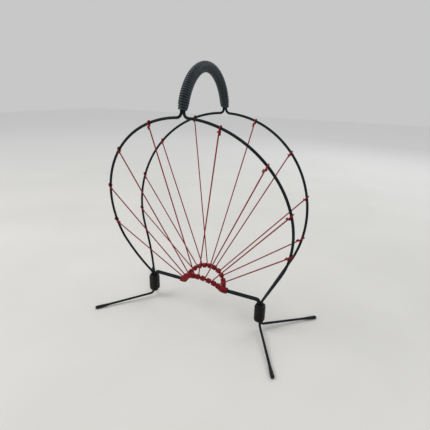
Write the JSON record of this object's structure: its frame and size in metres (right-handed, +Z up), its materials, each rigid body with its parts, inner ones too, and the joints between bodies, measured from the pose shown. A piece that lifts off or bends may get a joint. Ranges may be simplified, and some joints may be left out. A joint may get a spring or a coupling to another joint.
{
  "type": "wire magazine and log rack",
  "caption": "Free-standing rack of bent black wire: two round hoops strung with red cord, a cord-wrapped carrying handle and splayed feet.",
  "frame": {"origin": "on the floor, at the centre of the rack's bounding box", "axes": "+Z up; X from the left binding to the right one, in the hoops' width; +Y from the front hoop to the rear hoop, along the handle"},
  "size_m": [0.4586, 0.2326, 0.5234],
  "materials": {
    "wire": "satin black paint on bent steel wire",
    "tip": "dipped, satin black",
    "black_cord": "satin black plastic cord, closely wound",
    "core": "matt filler, hidden by the cord",
    "red_cord": "satin red plastic cord"
  },
  "bodies": {
    "root": {"left_frame_wire": "wire", "right_frame_wire": "wire", "front_rail_wire": "wire", "rear_rail_wire": "wire", "left_binding": "black_cord", "right_binding": "black_cord", "handle_wrap": "black_cord", "handle_core": "core", "left_arch_tie": "red_cord", "right_arch_tie": "red_cord", "front_arch_coil_middle": "red_cord", "front_left_foot_tip": "tip", "front_left_arch_coil_1": "red_cord", "front_left_string_1": "red_cord", "front_left_arch_coil_2": "red_cord", "front_left_string_2": "red_cord", "front_left_arch_coil_3": "red_cord", "front_left_string_3": "red_cord", "front_left_arch_coil_4": "red_cord", "front_left_string_4": "red_cord", "front_right_foot_tip": "tip", "front_right_arch_coil_1": "red_cord", "front_right_string_1": "red_cord", "front_right_arch_coil_2": "red_cord", "front_right_string_2": "red_cord", "front_right_arch_coil_3": "red_cord", "front_right_string_3": "red_cord", "front_right_arch_coil_4": "red_cord", "front_right_string_4": "red_cord", "rear_arch_coil_middle": "red_cord", "rear_left_foot_tip": "tip", "rear_left_arch_coil_1": "red_cord", "rear_left_string_1": "red_cord", "rear_left_arch_coil_2": "red_cord", "rear_left_string_2": "red_cord", "rear_left_arch_coil_3": "red_cord", "rear_left_string_3": "red_cord", "rear_left_arch_coil_4": "red_cord", "rear_left_string_4": "red_cord", "rear_right_foot_tip": "tip", "rear_right_arch_coil_1": "red_cord", "rear_right_string_1": "red_cord", "rear_right_arch_coil_2": "red_cord", "rear_right_string_2": "red_cord", "rear_right_arch_coil_3": "red_cord", "rear_right_string_3": "red_cord", "rear_right_arch_coil_4": "red_cord", "rear_right_string_4": "red_cord"}
  },
  "joints": []
}
